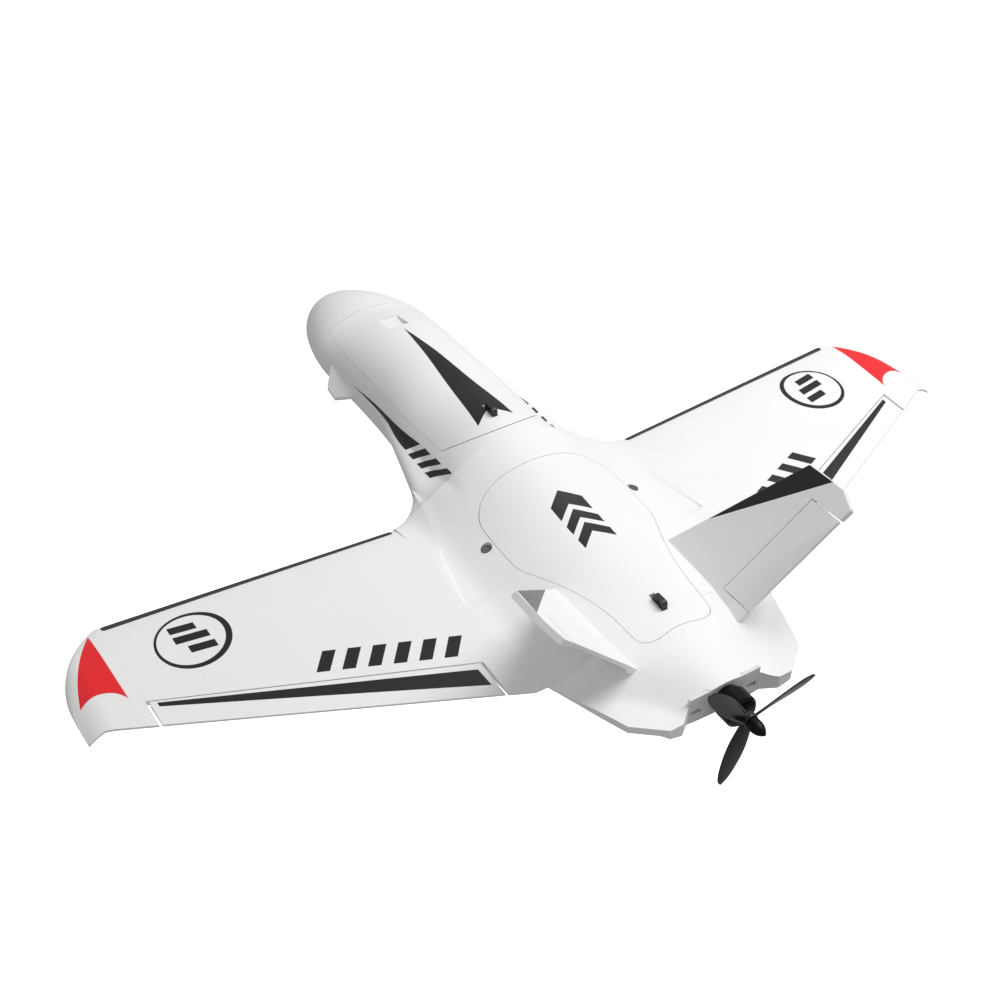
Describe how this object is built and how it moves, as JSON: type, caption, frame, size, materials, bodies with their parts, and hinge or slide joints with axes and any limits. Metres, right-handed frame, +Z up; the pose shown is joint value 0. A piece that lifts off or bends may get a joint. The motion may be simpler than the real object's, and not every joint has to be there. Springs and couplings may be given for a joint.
{
  "type": "rc flying wing",
  "caption": "Remote-controlled foam flying wing with a V-tail, elevons, lift-off hatches and a rear pusher propeller, at rest on its flat belly.",
  "frame": {"origin": "on the flat belly, on the centreline, under the inner end of the wing's leading-edge strips", "axes": "+X to port (the left wing), +Y aft, +Z up"},
  "size_m": [0.845, 0.7155, 0.1737],
  "materials": {
    "foam": "matt moulded foam",
    "black_plastic": "satin",
    "gloss_black": "gloss",
    "grey_plastic": "satin",
    "carbon": "woven fibre, satin",
    "motor_metal": "anodised",
    "steel": "bright wire",
    "white_plastic": "moulded",
    "circuit": "board in sleeve",
    "wrap": "shrink wrap"
  },
  "bodies": {
    "airframe": {"fuselage": "foam", "wing_panel_left": "foam", "wing_panel_right": "foam", "fin_left": "foam", "fin_right": "foam", "leading_edge_strip_left": "black_plastic", "leading_edge_strip_right": "black_plastic", "main_spar": "carbon", "rear_spar": "carbon", "spar_lock_left": "grey_plastic", "spar_lock_right": "grey_plastic", "side_fairing_left": "foam", "side_fairing_right": "foam", "elevon_servo_left": "black_plastic", "elevon_servo_right": "black_plastic", "motor_mount": "white_plastic", "motor_stator": "motor_metal", "battery_tray": "carbon", "battery": "wrap", "flight_controller": "circuit", "receiver": "circuit", "speed_controller": "grey_plastic"},
    "nose_hatch": {"front_hatch": "foam"},
    "nose_latch": {"front_latch": "black_plastic"},
    "tail_hatch": {"rear_hatch": "foam"},
    "tail_latch": {"rear_latch": "black_plastic"},
    "rotor": {"motor_bell": "motor_metal", "propeller": "gloss_black", "propeller_nut": "motor_metal"},
    "elevon_left_body": {"elevon_left": "foam", "elevon_horn_left": "white_plastic"},
    "rudder_left_body": {"rudder_left": "foam"},
    "servo_arm_left_body": {"servo_arm_left": "white_plastic"},
    "pushrod_left_body": {"elevon_pushrod_left": "steel"},
    "elevon_right_body": {"elevon_right": "foam", "elevon_horn_right": "white_plastic"},
    "rudder_right_body": {"rudder_right": "foam"},
    "servo_arm_right_body": {"servo_arm_right": "white_plastic"},
    "pushrod_right_body": {"elevon_pushrod_right": "steel"}
  },
  "joints": [
    {"name": "propeller_spin", "type": "hinge", "parent": "airframe", "child": "rotor", "pos_m": [0, 0.3214, 0.038], "axis": [0, 1, 0], "continuous": true},
    {"name": "front_hatch_lift", "type": "slide", "parent": "airframe", "child": "nose_hatch", "axis": [0, 0, 1], "range_m": [0, 0.06]},
    {"name": "rear_hatch_lift", "type": "slide", "parent": "airframe", "child": "tail_hatch", "axis": [0, 0, 1], "range_m": [0, 0.06]},
    {"name": "front_latch_slide", "type": "slide", "parent": "nose_hatch", "child": "nose_latch", "axis": [0, -1, 0], "range_m": [0, 0.0038]},
    {"name": "rear_latch_slide", "type": "slide", "parent": "tail_hatch", "child": "tail_latch", "axis": [0, -1, 0], "range_m": [0, 0.0038]},
    {"name": "elevon_left_hinge", "type": "hinge", "parent": "airframe", "child": "elevon_left_body", "pos_m": [0.28994, 0.10593, 0.04018], "axis": [0.9187, -0.3949, -0.0051], "range_deg": [-25, 25]},
    {"name": "servo_arm_left_turn", "type": "hinge", "parent": "airframe", "child": "servo_arm_left_body", "pos_m": [0.27254, 0.03503, 0.03315], "axis": [0.9187, -0.3949, -0.0051], "range_deg": [-30, 30]},
    {"name": "pushrod_left_slide", "type": "slide", "parent": "airframe", "child": "pushrod_left_body", "axis": [0.3949, 0.9187, 0], "range_m": [-0.0075, 0.0075]},
    {"name": "rudder_left_hinge", "type": "hinge", "parent": "airframe", "child": "rudder_left_body", "pos_m": [0.08946, 0.2289, 0.09816], "axis": [0.6606, 0.1592, 0.7337], "range_deg": [-25, 25]},
    {"name": "elevon_right_hinge", "type": "hinge", "parent": "airframe", "child": "elevon_right_body", "pos_m": [-0.28994, 0.10593, 0.04018], "axis": [0.9187, 0.3949, 0.0051], "range_deg": [-25, 25]},
    {"name": "servo_arm_right_turn", "type": "hinge", "parent": "airframe", "child": "servo_arm_right_body", "pos_m": [-0.27254, 0.03503, 0.03315], "axis": [0.9187, 0.3949, 0.0051], "range_deg": [-30, 30]},
    {"name": "pushrod_right_slide", "type": "slide", "parent": "airframe", "child": "pushrod_right_body", "axis": [-0.3949, 0.9187, 0], "range_m": [-0.0075, 0.0075]},
    {"name": "rudder_right_hinge", "type": "hinge", "parent": "airframe", "child": "rudder_right_body", "pos_m": [-0.08946, 0.2289, 0.09816], "axis": [-0.6606, 0.1592, 0.7337], "range_deg": [-25, 25]}
  ],
  "couplings": [
    {"joint": "servo_arm_left_turn", "follows": "elevon_left_hinge", "ratio": 1.1429},
    {"joint": "pushrod_left_slide", "follows": "elevon_left_hinge", "m_per_rad": 0.016},
    {"joint": "servo_arm_right_turn", "follows": "elevon_right_hinge", "ratio": 1.1429},
    {"joint": "pushrod_right_slide", "follows": "elevon_right_hinge", "m_per_rad": 0.016}
  ]
}
